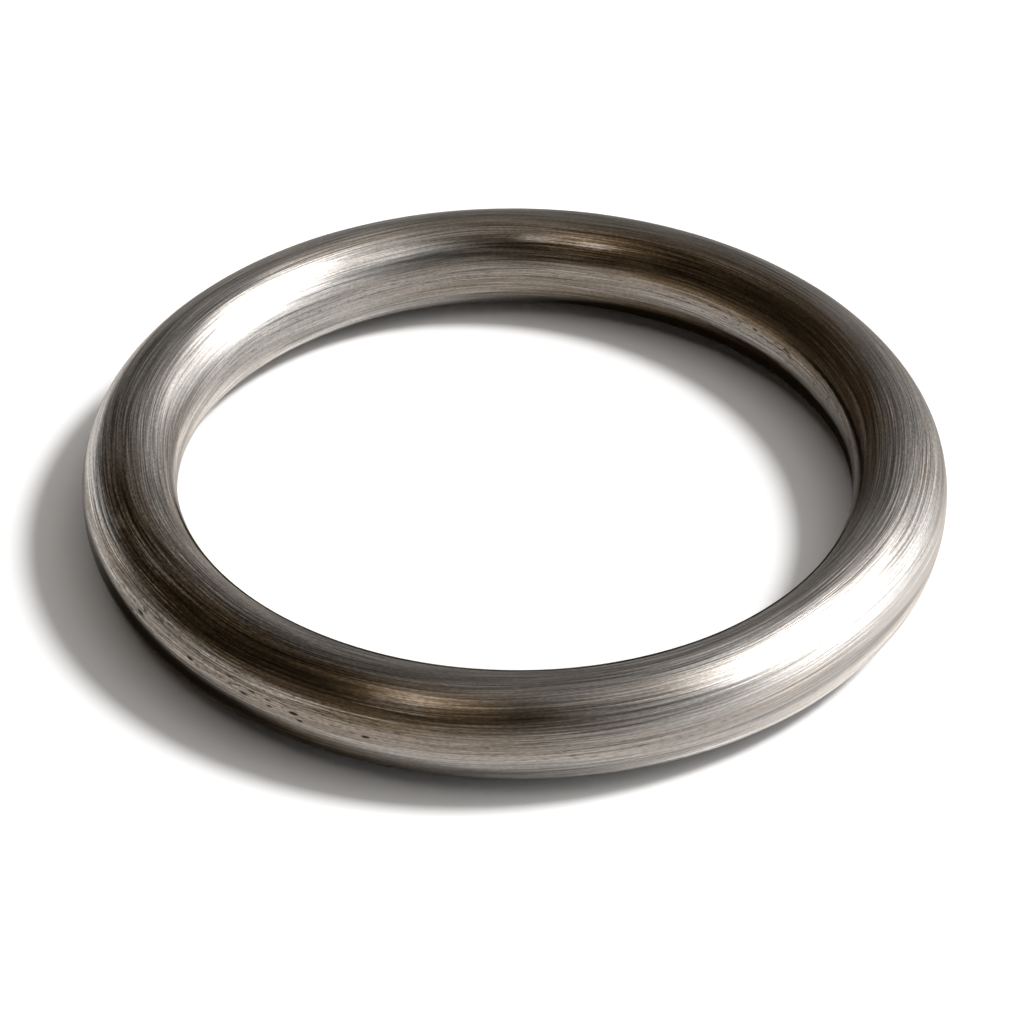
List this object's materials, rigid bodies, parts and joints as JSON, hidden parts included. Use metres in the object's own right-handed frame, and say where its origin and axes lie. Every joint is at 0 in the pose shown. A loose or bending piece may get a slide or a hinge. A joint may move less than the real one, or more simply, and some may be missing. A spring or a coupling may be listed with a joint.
{
  "type": "kada bangle",
  "caption": "Plain solid steel kada bangle: a closed ring of rounded bar, brushed along its length, worn on the wrist.",
  "frame": {"origin": "centre of the ring, on the surface that it lies on", "axes": "+Z is the ring's own axis, up out of the wrist opening; the ring is the same all the way round, so +X and +Y are free"},
  "size_m": [0.087, 0.087, 0.0104],
  "materials": {
    "steel": "satin, brushed around the ring, with fine scratches and small dark pits"
  },
  "bodies": {
    "root": {"ring": "steel"}
  },
  "joints": []
}
